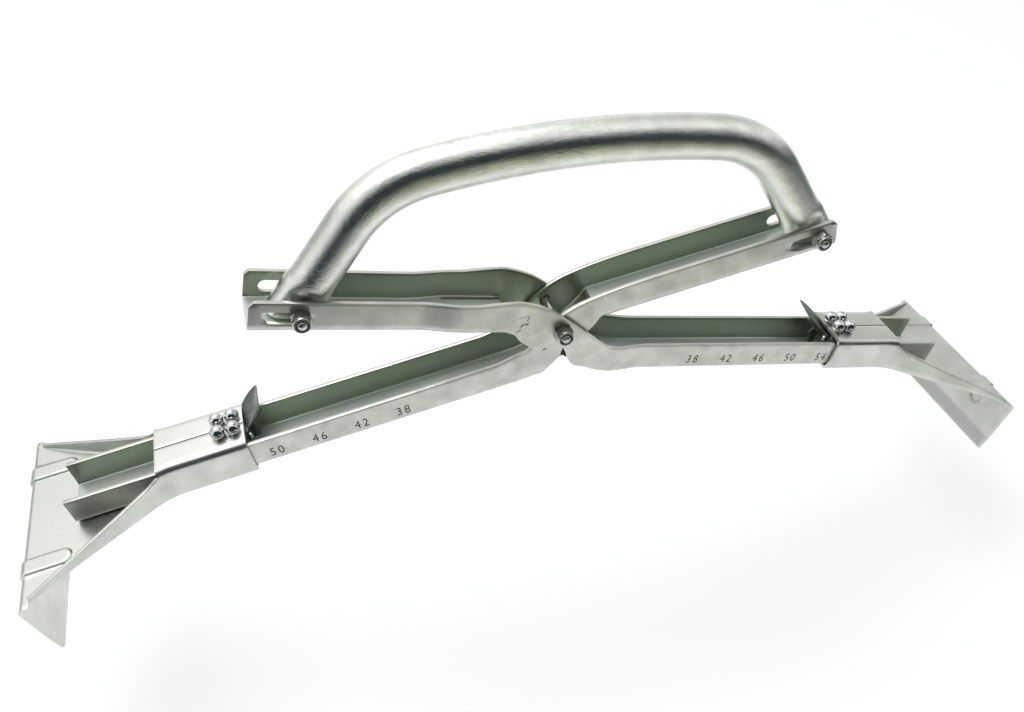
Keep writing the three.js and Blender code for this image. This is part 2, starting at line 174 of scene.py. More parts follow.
def circleOutline(x, z, radius, steps=32):
    turn = np.linspace(0, tau, steps, endpoint=False)
    return np.stack([x + radius * np.cos(turn), z + radius * np.sin(turn)], axis=1)


# columns of a profile given as rows
def profileColumns(profile):
    return [np.array(values, float)[:, None] for values in zip(*profile)]


# surface turned about a line: order names the axes that take radius * cos(turn), radius * sin(turn) and the
# height; a closed profile joins its last ring to its first
def spunPiece(name, height, radius, steps, order, centre, pose, closed=False, angle=50):
    turn = np.linspace(0, tau, steps, endpoint=False)
    parts = (radius * np.cos(turn), radius * np.sin(turn), height + 0 * turn)
    points = np.stack([parts[order.index(axis)] for axis in "xyz"], axis=-1) + np.array(centre)
    if closed:
        points = np.concatenate([points, points[:1]])
    piece = addPiece(name, points, gridQuads(*points.shape[:2], wrap=True).reshape(-1, 4).tolist(), pose)
    smoothFaces(piece, angle)
    return piece


# Materials: zinc-plated steel in several finishes with painted shade and light, chrome, nylon and the dark of
# the stamped numbers, which also paints shade in the drop-shaped pocket

# a value that is another node's output is linked, any other is set
def setInputs(tree, node, **inputs):
    for key, value in inputs.items():
        socket = node.inputs[key.replace("_", " ")]
        if isinstance(value, bpy.types.NodeSocket):
            tree.links.new(value, socket)
        else:
            socket.default_value = value


def addNode(tree, kind, **inputs):
    node = tree.nodes.new(kind)
    setInputs(tree, node, **inputs)
    return node


# node material with its tree and its main shader
def newMaterial(name):
    material = bpy.data.materials.new(name)
    material.use_nodes = True
    return material, material.node_tree, material.node_tree.nodes["Principled BSDF"]


# noise over the object's own coordinates
def addNoise(tree, **inputs):
    place = tree.nodes.new("ShaderNodeTexCoord")
    return addNode(tree, "ShaderNodeTexNoise", Vector=place.outputs["Object"], **inputs).outputs["Fac"]


# straight-line map of a value; the limits that aren't given are 0 and 1
def addRange(tree, value, **limits):
    return addNode(tree, "ShaderNodeMapRange", Value=value, **limits).outputs["Result"]


# mix of two colours by a share
def addMix(tree, share, first, second):
    mix = tree.nodes.new("ShaderNodeMix")
    mix.data_type = "RGBA"
    setInputs(tree, mix, Factor=share, A=first, B=second)
    return mix.outputs["Result"]


# each set's tint colour is painted shade: the darker, greener tone given to faces that look into a channel or
# sleeve
finishesWithShade = {
    "leverZinc": {"light": (0.66, 0.65, 0.61), "dark": (0.50, 0.50, 0.47), "shadeTint": (0.40, 0.45, 0.36),
                  "rough": (0.26, 0.42), "cloud": 90, "grain": 1400, "bump": 0.12, "relief": 0.2},
    "jawZinc": {"light": (0.70, 0.70, 0.66), "dark": (0.56, 0.57, 0.54), "shadeTint": (0.42, 0.47, 0.43),
                "rough": (0.26, 0.42), "cloud": 70, "grain": 1400, "bump": 0.12, "relief": 0.2},
    "tubeZinc": {"light": (0.90, 0.91, 0.86), "dark": (0.66, 0.67, 0.64), "shadeTint": (0.42, 0.43, 0.41),
                 "rough": (0.14, 0.26), "cloud": 60, "grain": 1700, "bump": 1.0, "relief": 0.36},
    "boltZinc": {"light": (0.66, 0.65, 0.60), "dark": (0.46, 0.46, 0.43), "shadeTint": (0.46, 0.46, 0.43),
                 "rough": (0.18, 0.32), "cloud": 300, "grain": 2500, "bump": 0.06, "relief": 0.2},
    # the latch's greys are painted shade: set far darker than the other zinc to stand for the shade on the
    # tab
    "latchShadedZinc": {"light": (0.20, 0.22, 0.20), "dark": (0.11, 0.12, 0.115), "shadeTint": (0.34, 0.38, 0.34),
                  "rough": (0.40, 0.55), "cloud": 200, "grain": 1800, "bump": 0.10, "relief": 0.2},
}
# painted light: the web's upper face takes a lighter, less metallic tone, for the light from above that falls
# on it
webPaintedLight = {"color": (0.60, 0.65, 0.60), "metallic": 0.4}
speckleShare = 0.45
noiseSpread = (0.5, 0.95)


# zinc: two greys mixed by a slow cloud and a fine speckle; painted shade, a darker greener tone, where the
# inner mask is 1, and painted light, a lighter dull tone, where it is 2, on the floor of a channel
def zincMaterial(name, finish):
    material, tree, shader = newMaterial(name)
    cloud = addNoise(tree, Scale=finish["cloud"], Detail=5.0, Roughness=0.6)
    speckle = addNoise(tree, Scale=finish["grain"], Detail=2.0, Roughness=0.7)
    blend = addNode(tree, "ShaderNodeMath")
    blend.operation = "MULTIPLY_ADD"
    blend.inputs[1].default_value = speckleShare
    tree.links.new(speckle, blend.inputs[0])
    tree.links.new(cloud, blend.inputs[2])
    spread = addRange(tree, blend.outputs[0], From_Min=noiseSpread[0], From_Max=noiseSpread[1])
    mask = tree.nodes.new("ShaderNodeAttribute")
    mask.attribute_name = "inner"
    inner = mask.outputs["Fac"]
    onFloor = addRange(tree, inner, From_Min=1.0, From_Max=2.0)
    tone = addMix(tree, spread, (*finish["dark"], 1), (*finish["light"], 1))
    tone = addMix(tree, inner, tone, (*finish["shadeTint"], 1))
    tone = addMix(tree, onFloor, tone, (*webPaintedLight["color"], 1))
    bump = addNode(tree, "ShaderNodeBump", Strength=finish["bump"], Distance=finish["relief"] * mm,
                   Height=blend.outputs[0])
    setInputs(tree, shader, Base_Color=tone, Normal=bump.outputs["Normal"],
              Metallic=addRange(tree, onFloor, To_Min=1.0, To_Max=webPaintedLight["metallic"]),
              Roughness=addRange(tree, spread, To_Min=finish["rough"][1], To_Max=finish["rough"][0]))
    return material


# the colour and the roughness vary a little along a soft cloud
def plainMaterial(name, color, metallic, roughness, cloudScale, variation):
    material, tree, shader = newMaterial(name)
    cloud = addNoise(tree, Scale=cloudScale, Detail=4.0)
    less, more = 1 - variation, 1 + variation
    setInputs(tree, shader, Metallic=metallic,
              Base_Color=addMix(tree, cloud, (*[channel * less for channel in color], 1), (*color, 1)),
              Roughness=addRange(tree, cloud, To_Min=roughness * less, To_Max=roughness * more))
    return material


zinc = {name: zincMaterial(name, finish) for name, finish in finishesWithShade.items()}
chrome = plainMaterial("rivetChrome", (0.74, 0.75, 0.75), 1.0, 0.08, 600, 0.25)
nylon = plainMaterial("ringNylon", (0.09, 0.11, 0.11), 0.0, 0.5, 900, 0.2)
# dark of the stamped numbers; in the drop-shaped pocket the same dark is painted shade
stampDarkAndShade = plainMaterial("stampDarkAndShade", (0.09, 0.09, 0.08), 0.6, 0.6, 900, 0.3)
print("materials made")


# Levers: a folded channel whose side plates are pressed apart and cut to lobes round the middle bolt

lever = {"sheet": 2.0, "halfWidth": 12.5, "armHeight": 15.0, "upperDrop": 1.5, "lowerDrop": 10.5,
         "upperLength": 140.0, "lowerLength": 233.5, "bend": 3.2, "webFade": 6.0,
         "joggle": (-70.0, -48.0, 32.0, 50.0), "slot": (119.0, 131.0), "slotRise": 6.0, "slotRadius": 3.0,
         "boltHole": 2.8, "corner": 2.0, "soften": 3.0, "fineStep": 0.75, "fineFrom": -75.0,
         "fineTo": 58.0, "cheekHalf": 14.8, "edge": 0.5, "webSteps": 6, "flangeSteps": 8,
         "webStops": {"front": (-22.5, 11), "back": (-5, 11)}, "innerFrom": 5.0, "floorHalf": 10.4}
# which faces count as looking up or inwards, and how far a cutter reaches past a plate
facesUp, facesIn = 0.8, -0.5
cutPast = 5.0
frontTopShares = [[-3, 0.9], [-2.27, 1], [-1.6, 1.07], [-0.98, 0.95], [-0.44, 0.77], [0.05, 0.49],
                  [0.57, 0.17], [0.96, -0.11], [1.73, -0.58], [2.07, -0.7]]
frontFootShares = [[-1.5, -0.1], [-1.4, -0.31], [-0.85, -0.63], [-0.46, -0.75], [-0.27, -0.56],
                   [-0.08, -0.25], [0.17, -0.6], [0.37, -0.82], [0.43, -1.02], [0.63, -1.26],
                   [1.04, -1.47], [1.67, -1.65], [2.07, -1.7]]
backTopShares = [[-3, 0.9], [-2.2, 0.88], [-1.5, 0.83], [-0.9, 0.76], [-0.44, 0.66], [0.05, 0.45],
                 [0.57, 0.1], [0.99, -0.45], [1.6, -0.58], [2.2, -0.7]]
backFootShares = [[-1.3, -0.1], [-1.2, -0.3], [-0.8, -0.6], [-0.46, -0.76], [-0.25, -1.0],
                  [-0.1, -1.2], [0.04, -1.24], [0.13, -1.06], [0.21, -1.13], [0.34, -1.23], [0.51, -1.35],
                  [0.71, -1.5], [0.92, -1.62], [1.31, -1.69], [2.2, -1.7]]


# Half a channel section at each station x, from the middle of the web round the bend to the flange's top.
# The bend is a quarter circle; near the missing web it is blended into a square corner.
def leverSection(x, topShares, footShares, cheekHalf, webStops):
    size, sheet, bend, soften = (lever[key] for key in ("armHeight", "sheet", "bend", "soften"))
    upperEnd, lowerEnd = -lever["upperLength"], lever["lowerLength"]
    upperFoot, lowerTop = -lever["upperDrop"], -lever["lowerDrop"]
    topLine = [(upperEnd, upperFoot + size)] + [(a * size, b * size) for a, b in topShares[:-1]]
    topLine += [(topShares[-1][0] * size, lowerTop), (lowerEnd, lowerTop)]
    footLine = [(upperEnd, upperFoot), (footShares[0][0] * size, upperFoot)]
    footLine += [(a * size, b * size) for a, b in footShares[1:-1]]
    footLine += [(footShares[-1][0] * size, lowerTop - size), (lowerEnd, lowerTop - size)]
    top = softLine(topLine, x, 2 * soften)
    foot = softLine(footLine, x, soften)
    upperOut, upperIn, lowerIn, lowerOut = lever["joggle"]
    cheek = smoothStep(x, upperOut, upperIn) - smoothStep(x, lowerIn, lowerOut)
    half = lever["halfWidth"] + (cheekHalf - lever["halfWidth"]) * cheek
    start, end = webStops
    fade = lever["webFade"]
    square = smoothStep(x, start - fade, start) - smoothStep(x, end, end + fade)

    column = x[:, None]
    top, foot, half, square = (values[:, None] for values in (top, foot, half, square))
    share = np.linspace(0, 1, 10)[None, :]
    turn = share * math.pi / 2
    outer = np.stack([half - sheet + sheet * np.clip(2 * share, 0, 1),
                      foot + bend * np.clip(2 * share - 1, 0, 1)])
    inner = np.stack([half - sheet + 0 * share, foot + sheet + (bend - sheet) * share])
    chains = []
    for inset, cut in ((0, outer), (sheet, inner)):
        radius = bend - inset
        plain = np.stack([half - bend + radius * np.sin(turn), foot + bend - radius * np.cos(turn)])
        corner = plain * (1 - square) + cut * square
        webY = corner[0][:, :1] * np.linspace(0, 1, lever["webSteps"] + 1)[None, :-1]
        webZ = foot + inset + 0 * webY
        rise = np.linspace(0, 1, lever["flangeSteps"] + 1)[None, 1:]
        flangeZ = foot + bend + (top - foot - bend) * rise
        flangeY = half - inset + 0 * flangeZ
        y = np.concatenate([webY, corner[0], flangeY], axis=1)
        z = np.concatenate([webZ, corner[1], flangeZ], axis=1)
        chains.append(np.stack([column + 0 * y, y, z], axis=-1))
    return chains


def leverPiece(name, topShares, footShares, cheekHalf, webStops, pose):
    start, end = webStops
    stations = np.unique(np.concatenate([
        np.linspace(-lever["upperLength"], lever["fineFrom"], 15),
        np.arange(lever["fineFrom"], lever["fineTo"], lever["fineStep"]),
        np.linspace(lever["fineTo"], lever["lowerLength"], 40), [start, end]]))
    whole = [np.concatenate([chain[:, :0:-1] * np.array([1, -1, 1]), chain], axis=1)
             for chain in leverSection(stations, topShares, footShares, cheekHalf, webStops)]
    rows, columns = whole[0].shape[:2]
    loop = np.concatenate([whole[0], whole[1][:, ::-1]], axis=1)
    quads = gridQuads(rows, 2 * columns, wrap=True)
    index = np.arange(rows * 2 * columns).reshape(rows, 2 * columns)
    outer, inner = index[:, :columns], index[:, :columns - 1:-1]
    web, middle = lever["webSteps"], columns // 2
    first, last = np.searchsorted(stations, start), np.searchsorted(stations, end)
    keep = np.ones(quads.shape[:2], bool)
    for centre in (middle, 2 * columns - 1 - middle):
        keep[first:last, centre - web:centre + web] = False
    faces = quads[keep].tolist()
    # the cut edges: along the web's two sides, across its two ends and at the two ends of the arm
    across = slice(middle - web, middle + web + 1)
    edges = [(slice(first, last + 1), middle - web), (slice(first, last + 1), middle + web),
             (first, across), (last, across), (0, slice(None)), (rows - 1, slice(None))]
    for edge in edges:
        low, high = outer[edge], inner[edge]
        faces += np.stack([low[:-1], low[1:], high[1:], high[:-1]], axis=1).tolist()
    piece = addPiece(name, loop, faces, pose)

    upperTop = lever["armHeight"] - lever["upperDrop"]
    length, corner, reach = lever["upperLength"], lever["corner"], cheekHalf + cutPast
    slotStart, slotStop = lever["slot"]
    outlines = [slotOutline(-slotStop, -slotStart, lever["slotRise"], lever["slotRadius"]),
                circleOutline(0, 0, lever["boltHole"]), circleOutline(-length, upperTop, corner, 4)]
    cutAway(piece, prismAlongY("cutter", outlines, -reach, reach, pose))
    breakEdges(piece, lever["edge"])
    return piece


frontPose = armPose(joints["slot_run"]["axis"], joints["pivot_open"]["pos_m"])
backPose = armPose(joints["left_jaw_slide"]["axis"], joints["pivot_open"]["pos_m"])
frontLever = leverPiece("leverFrontSheet", frontTopShares, frontFootShares, lever["cheekHalf"],
                        lever["webStops"]["front"], frontPose)
backLever = leverPiece("leverBackSheet", backTopShares, backFootShares, lever["halfWidth"],
                       lever["webStops"]["back"], backPose)


# marks the surfaces that look into a channel or sleeve, where the zinc paints shade, and light on a channel's
# web
def markShadeAndLight(piece, pose, test):
    faces = piece.data.polygons
    centre, normal = (np.array([getattr(face, key) for face in faces]) for key in ("center", "normal"))
    local, facing = (centre - pose["origin"]) @ pose["turn"] / mm, normal @ pose["turn"]
    attribute = piece.data.attributes.new("inner", "FLOAT", "FACE")
    attribute.data.foreach_set("value", test(local, facing).astype(np.float32))


# inside a channel: 1 on the side plates' faces that look to the middle, for painted shade, 2 on the web's
# upper face, for painted light
def channelInside(local, facing):
    out = np.abs(local[:, 1])
    sideways = (np.sign(local[:, 1]) * facing[:, 1] < facesIn) & (out > lever["innerFrom"])
    floor = (facing[:, 2] > facesUp) & (out < lever["floorHalf"])
    return sideways + 2 * floor


# Width marks stamped into the near side plates, and beside the middle bolt a creased burr, a punch mark and
# a drop-shaped pocket with dark faces of painted shade

numbers = {"marks": ("38", "42", "46", "50", "54"), "first": {"front": 78.0, "back": 80.0}, "step": 20.0,
           "rise": -19.3, "size": 7.0, "narrow": 0.85, "advance": 3.9, "depth": 0.25}
crease = {"line": ((-26.6, 5.6), (-25.2, 6.7), (-22.4, 8.1), (-19.4, 9.3), (-18.6, 8.3), (-19.2, 7.0),
                   (-17.8, 5.0), (-20.9, 4.2), (-21.6, 2.9), (-21.2, 1.4), (-22.9, 0.2), (-22.4, -1.6)),
          "section": ((-1, -0.3), (-0.35, 0.8), (0.2, 1), (1, -0.3)), "half": 0.55, "lift": 0.45,
          "steps": 60, "punch": (-6.6, -9.6), "punchRadius": 1.1,
          "punchRings": ((0.6, 0.0), (0.6, 1.0), (-0.15, 1.0), (-0.45, 0.55), (-0.55, 0.0))}
drop = {"outline": ((0.0, -11.1), (-0.8, -13.2), (-1.2, -15.5), (-0.6, -17.4), (0.6, -19.2), (1.5, -17.2),
                    (2.1, -15.3), (1.4, -13.5), (0.7, -12.3)), "depth": 1.5}


# the digits as solid letters, upright from the front and half sunk in the plate's outer face
def numberCutter(first, pose):
    axis, up = pose["turn"][:, 0], pose["turn"][:, 2]
    right = axis * math.copysign(1, axis[0])
    turn = np.stack([right, up, np.array([0, -1, 0])], axis=1)
    shells = []
    digits = [(text, number, place) for number, mark in enumerate(numbers["marks"])
              for place, text in enumerate(mark)]
    for text, number, place in digits:
        curve = bpy.data.curves.new("numberText", "FONT")
        curve.body = text
        curve.size, curve.extrude = numbers["size"], numbers["depth"]
        curve.align_x, curve.align_y = "CENTER", "CENTER"
        curve.resolution_u = 3
        holder = addObject("numberText", curve)
        bpy.context.view_layer.update()
        shape = bpy.data.meshes.new_from_object(holder.evaluated_get(bpy.context.evaluated_depsgraph_get()))
        flat = np.array([vertex.co for vertex in shape.vertices]) * np.array([numbers["narrow"], 1, 1])
        centre = axis * (first + number * numbers["step"]) + up * numbers["rise"]
        centre = centre + right * (place - 0.5) * numbers["advance"] - np.array([0, lever["halfWidth"], 0])
        shells.append((flat @ turn.T + centre, [list(face.vertices) for face in shape.polygons]))
        bpy.data.objects.remove(holder)
    cutter = addPiece("cutter", *joinShells(shells), {**rootPose, "origin": pose["origin"]})
    cutter.data.materials.append(stampDarkAndShade)
    return cutter


# A low ridge with a four-cornered section, carried along the crooked line on the plate's outer face; it is
# thin at both ends and uneven between them
def creasePiece(pose):
    line, count = np.array(crease["line"]), crease["steps"]
    fine = np.linspace(0, len(line) - 1, count)
    x, z = (np.interp(fine, np.arange(len(line)), line[:, k]) for k in (0, 1))
    dx, dz = np.gradient(x), np.gradient(z)
    length = np.hypot(dx, dz)
    acrossX, acrossZ = -dz / length, dx / length
    swell = np.sin(np.linspace(0, math.pi, count)) ** 0.4 * (0.75 + 0.25 * np.sin(fine * 9))
    side, lift = (share * (crease[key] * swell)[:, None]
                  for share, key in zip(np.array(crease["section"]).T, ("half", "lift")))
    points = np.stack([x[:, None] + acrossX[:, None] * side, -lever["cheekHalf"] - lift,
                       z[:, None] + acrossZ[:, None] * side], axis=-1)
    faces = gridQuads(count, 4, wrap=True).reshape(-1, 4).tolist()
    faces += [list(range(4)), list(range(4 * count - 4, 4 * count))]
    ridge = addPiece("leverCrease", points, faces, pose)
    smoothFaces(ridge, 40)
    return ridge


# a shallow dish: rings of a share of the radius, at places measured out from the plate's outer face
def punchCutter(pose):
    out, share = profileColumns(crease["punchRings"])
    centre = (crease["punch"][0], -lever["cheekHalf"], crease["punch"][1])
    return spunPiece("cutter", -out, crease["punchRadius"] * share, 16, "xzy", centre, pose)


# a pocket in the inner lever's near plate, which lies on the plus side of that lever's own y axis; its faces
# take the dark material as painted shade
def dropCutter(pose):
    half = lever["halfWidth"]
    cutter = prismAlongY("cutter", [drop["outline"]], half - drop["depth"], half + cutPast, pose)
    cutter.data.materials.append(stampDarkAndShade)
    return cutter


cutAway(frontLever, punchCutter(frontPose))
for piece, side, pose in ((frontLever, "front", frontPose), (backLever, "back", backPose)):
    piece.data.materials.append(zinc["leverZinc"])
    cutAway(piece, numberCutter(numbers["first"][side], pose), "TRANSFER")
    if side == "back":
        cutAway(piece, dropCutter(pose), "TRANSFER")
    smoothFaces(piece, 50)
    markShadeAndLight(piece, pose, channelInside)
dress(creasePiece(frontPose), zinc["leverZinc"], "lever_zinc", "front_lever")
dress(frontLever, zinc["leverZinc"], "lever_zinc", "front_lever", "lever_front")
dress(backLever, zinc["leverZinc"], "lever_zinc", "back_lever", "lever_back")
print("levers made")


# Jaws: one sheet, followed along its length from the mouth of the sleeve over the fold and down the flap

jaw = {"sheet": 1.5, "gap": 0.35, "sleeveLength": 41.0, "seam": 0.7, "fold": 107.5, "foldHalf": 50.0,
       "wallEnd": 102.0, "wallEndHeight": 2.0, "wallStep": 1.4, "stepRun": 6.0, "stepFade": 50.0,
       "flapDrop": 31.5, "flapLean": 2.9, "lipHeight": 8.0, "lipLean": 1.6, "lipSoften": 1.5,
       "foldRadius": 2.2, "wallRadius": 2.6, "lowWallShare": 0.45, "roofRadius": 2.3, "flareSoften": 14.0,
       "beadPlace": 28.0, "beadHalf": 4.5, "beadHeight": 1.0, "beadLength": 23.0, "beadDrop": 13.0,
       "beadRamp": 1.3, "beadClear": 2.0, "roofRise": 1.2, "floorClear": 3.0, "edge": 0.22,
       "pathStep": 0.02, "fineStep": 0.5, "pastMouth": {"left": 82.5, "right": 69.2}}
jawFoot = -lever["lowerDrop"] - lever["armHeight"] - jaw["gap"] - jaw["sheet"]
jawTop = -lever["lowerDrop"] + jaw["gap"] + jaw["sheet"]
jawRoof = jawTop + jaw["roofRise"]


# The sheet's middle line as distances, places and slope angles: the angle is a ramp over the fold and a
# softer one at the lip, and the place is the sum of the small steps along that slope
def jawPath():
    lean = math.atan2(jaw["flapLean"], jaw["flapDrop"] - jaw["lipHeight"])
    lipLean = math.atan2(jaw["lipLean"], jaw["lipHeight"])
    halfSheet, radius = jaw["sheet"] / 2, jaw["foldRadius"]
    turn = math.pi / 2 + lean
    cornerX = jaw["fold"] - halfSheet / math.cos(lean) - halfSheet * math.tan(lean)
    foldStart = cornerX - radius * math.tan(turn / 2)
    foldEnd = foldStart + radius * turn
    flapLength = (jaw["flapDrop"] - jaw["lipHeight"]) / math.cos(lean)
    lipStart = foldEnd + flapLength - radius * math.tan(turn / 2)
    end = lipStart + jaw["lipHeight"] / math.cos(lipLean)
    step, soften = jaw["pathStep"], jaw["lipSoften"]
    fine = np.arange(0, end + step, step)
    angle = turn * np.clip((fine - foldStart) / (foldEnd - foldStart), 0, 1)
    angle = angle + (lipLean - lean) * smoothStep(fine, lipStart - soften, lipStart + soften)
    x = np.concatenate([[0], np.cumsum(np.cos(angle[:-1]) * step)])
    z = np.concatenate([[0], -np.cumsum(np.sin(angle[:-1]) * step)]) + jawFoot + halfSheet
    return (fine, x, z, angle), foldStart, foldEnd, end


# Half of the sheet's middle surface in three patches, floor, wall and roof of the sleeve, with its other half
# mirrored; s is the way along the sheet, with stations close together at the sleeve's end, fold and bead
def jawPiece(name, pose):
    (pathS, *pathLines), foldStart, foldEnd, pathEnd = jawPath()
    halfSheet = jaw["sheet"] / 2
    sleeve, wallEnd = jaw["sleeveLength"], jaw["wallEnd"]
    beadStart, beadEnd = jaw["fold"] - jaw["beadLength"], foldEnd + jaw["beadDrop"]
    fine, clear = jaw["fineStep"], jaw["beadClear"]
    s = np.unique(np.concatenate([
        np.linspace(0, sleeve - 8, 8), np.linspace(sleeve - 8, sleeve + 10, 19), [sleeve, wallEnd],
        np.arange(sleeve + 12, beadStart - clear, 3), np.arange(beadStart - clear, foldStart, fine),
        np.linspace(foldStart, foldEnd, 12), np.arange(foldEnd + fine, beadEnd + clear, fine),
        np.linspace(beadEnd + 3, pathEnd, 16)]).round(4))
    pathX, pathZ, angle = (np.interp(s, pathS, line) for line in pathLines)
    sleeveHalf = lever["halfWidth"] + jaw["gap"] + jaw["sheet"]
    edge = softLine([(0, sleeveHalf), (sleeve, sleeveHalf), (jaw["fold"], jaw["foldHalf"]),
                     (2 * jaw["fold"], jaw["foldHalf"])], s, jaw["flareSoften"])
    edge = np.where(s > jaw["fold"] - jaw["flareSoften"], np.interp(
        s, [sleeve, jaw["fold"]], [sleeveHalf, jaw["foldHalf"]]), edge)
    sleeveRise = jawRoof - jawFoot - jaw["sheet"]
    wallRise = np.interp(s, [sleeve, wallEnd], [sleeveRise - jaw["roofRadius"], jaw["wallEndHeight"]])
    lower = smoothStep(s, sleeve, sleeve + jaw["stepRun"]) * smoothStep(wallEnd - s, 0, jaw["stepFade"])
    wallRise = wallRise - jaw["wallStep"] * lower
    radius = np.minimum(jaw["wallRadius"], jaw["lowWallShare"] * wallRise)
    walled, roofed = s <= wallEnd, s <= sleeve
    wallY = edge - halfSheet
    floorEdge = np.where(walled, wallY - radius, jaw["foldHalf"])

    # places across the floor: close together over the bead, and drawn in where the sheet is narrow
    fixed = np.concatenate([np.linspace(0, 21, 8), np.arange(22, 34.5, fine)])
    share = np.linspace(0, 1, 8)[None, 1:]
    atStart = np.interp(beadStart - clear, s, floorEdge)
    atOuter = np.minimum(atStart, floorEdge)[:, None] / atStart
    inner = fixed[None, :] * atOuter * min(1.0, (atStart - 1) / fixed[-1])
    outer = inner[:, -1:] + (floorEdge[:, None] - inner[:, -1:]) * share
    floorY = np.concatenate([inner, outer], axis=1)

    # pressed bead: flat top, smooth flanks, and ends rounded like a finger
    along = np.clip(np.maximum(beadStart - s, s - beadEnd) + jaw["beadHalf"], 0, None)[:, None]
    away = np.hypot(along, floorY - jaw["beadPlace"])
    lift = jaw["beadHeight"] * (1 - smoothStep(away, jaw["beadHalf"] - jaw["beadRamp"], jaw["beadHalf"]))
    sine, cosine = np.sin(angle)[:, None], np.cos(angle)[:, None]
    floor = np.stack([pathX[:, None] + sine * lift, floorY, pathZ[:, None] + cosine * lift], axis=-1)

    turn = np.linspace(0, math.pi / 2, 6)[None, :]
    r, rise, y = radius[:, None], wallRise[:, None], wallY[:, None]
    bendY, bendLift = y - r + r * np.sin(turn), r - r * np.cos(turn)
    wallLift = r + (rise - r) * share
    sideY = np.concatenate([bendY, y + 0 * wallLift], axis=1)
    sideLift = np.concatenate([bendLift, wallLift], axis=1)

    roofR = jaw["roofRadius"]
    arcY, arcLift = y - roofR + roofR * np.cos(turn), rise + roofR * np.sin(turn)
    flatY = (y - roofR) + (jaw["seam"] / 2 - y + roofR) * share
    roofY = np.concatenate([arcY, flatY], axis=1)
    roofLift = np.concatenate([arcLift, rise + roofR + 0 * flatY], axis=1)
    wall, roof = (np.stack([pathX[:, None] + 0 * across, across, pathZ[:, None] + raised], axis=-1)[rows]
                  for across, raised, rows in ((sideY, sideLift, walled), (roofY, roofLift, roofed)))

    halves = [((patch * np.array([1, side, 1])).reshape(-1, 3), gridQuads(*patch.shape[:2]).reshape(-1, 4))
              for patch in (floor, wall, roof) for side in (1, -1)]
    piece = addPiece(name, *joinShells(halves), pose)
    applyModifier(piece, "SOLIDIFY", thickness=jaw["sheet"] * mm, offset=0, use_even_offset=True)
    breakEdges(piece, jaw["edge"], 50)
    return piece


# inside a jaw: the walls' faces that look to the middle, and the floor of the sleeve, where shade is painted
def jawInside(local, facing):
    sideways = np.sign(local[:, 1]) * facing[:, 1] < facesIn
    floor = (facing[:, 2] > facesUp) & (local[:, 2] < jawTop - jaw["floorClear"])
    return sideways | (floor & (local[:, 0] < jaw["sleeveLength"]))


jawPoses = {side: armPose(joints[f"{side}_jaw_slide"]["axis"], joints["pivot_open"]["pos_m"],
                          lever["lowerLength"] - past) for side, past in jaw["pastMouth"].items()}
for side, pose in jawPoses.items():
    piece = jawPiece(f"{side}JawSheet", pose)
    markShadeAndLight(piece, pose, jawInside)
    dress(piece, zinc["jawZinc"], "jaw_zinc", f"{side}_jaw", f"{side}_jaw")
print("jaws made")


# Handle: a round tube along two arcs and a straight leg on each side, pressed flat at both ends

handle = {"rise": 58.5, "radius": 10.0, "bendRadius": 51.0, "legSlope": 54.0, "crownSlope": 9.2,
          "flatHalf": 7.0, "flatWide": 10.8, "flatStart": 13.5, "flatEnd": 6.5, "tubeEnd": 12.0,
          "hole": 2.8, "webReach": 5.0, "slopes": (3.0, 19.0), "cutReach": 40.0, "cutHalf": 20.0,
          "slack": 0.6, "power": 14, "step": 1.5, "sides": 72}
halfPins = abs(joints["open_levers"]["pos_m"][0]) / mm


# distance, place and slope angle along the right half of the tube's middle line: two arcs and a line
def handleLine():
    leg, crown = (math.radians(handle[key]) for key in ("legSlope", "crownSlope"))
    bend = handle["bendRadius"]
    bendAcross, bendDown = bend * (math.sin(leg) - math.sin(crown)), bend * (math.cos(crown) - math.cos(leg))
    level = handle["rise"] - bendDown - math.tan(leg) * (halfPins - bendAcross)
    crownRadius = level / (1 - math.cos(crown) - math.tan(leg) * math.sin(crown))
    crownLength, bendLength = crownRadius * crown, bend * (leg - crown)
    legLength = (halfPins - crownRadius * math.sin(crown) - bendAcross) / math.cos(leg)
    total = crownLength + bendLength + legLength + handle["tubeEnd"]
    s = np.linspace(0, total, int(total / handle["step"]))
    slope = np.clip(s, 0, crownLength) / crownRadius + np.clip(s - crownLength, 0, bendLength) / bend
    line = np.clip(s - crownLength - bendLength, 0, None)
    early, late = np.minimum(slope, crown), np.maximum(slope, crown)
    x = crownRadius * np.sin(early) + bend * (np.sin(late) - math.sin(crown)) + line * math.cos(leg)
    z = -crownRadius * (1 - np.cos(early)) - bend * (math.cos(crown) - np.cos(late)) - line * math.sin(leg)
    return s, x, z, slope


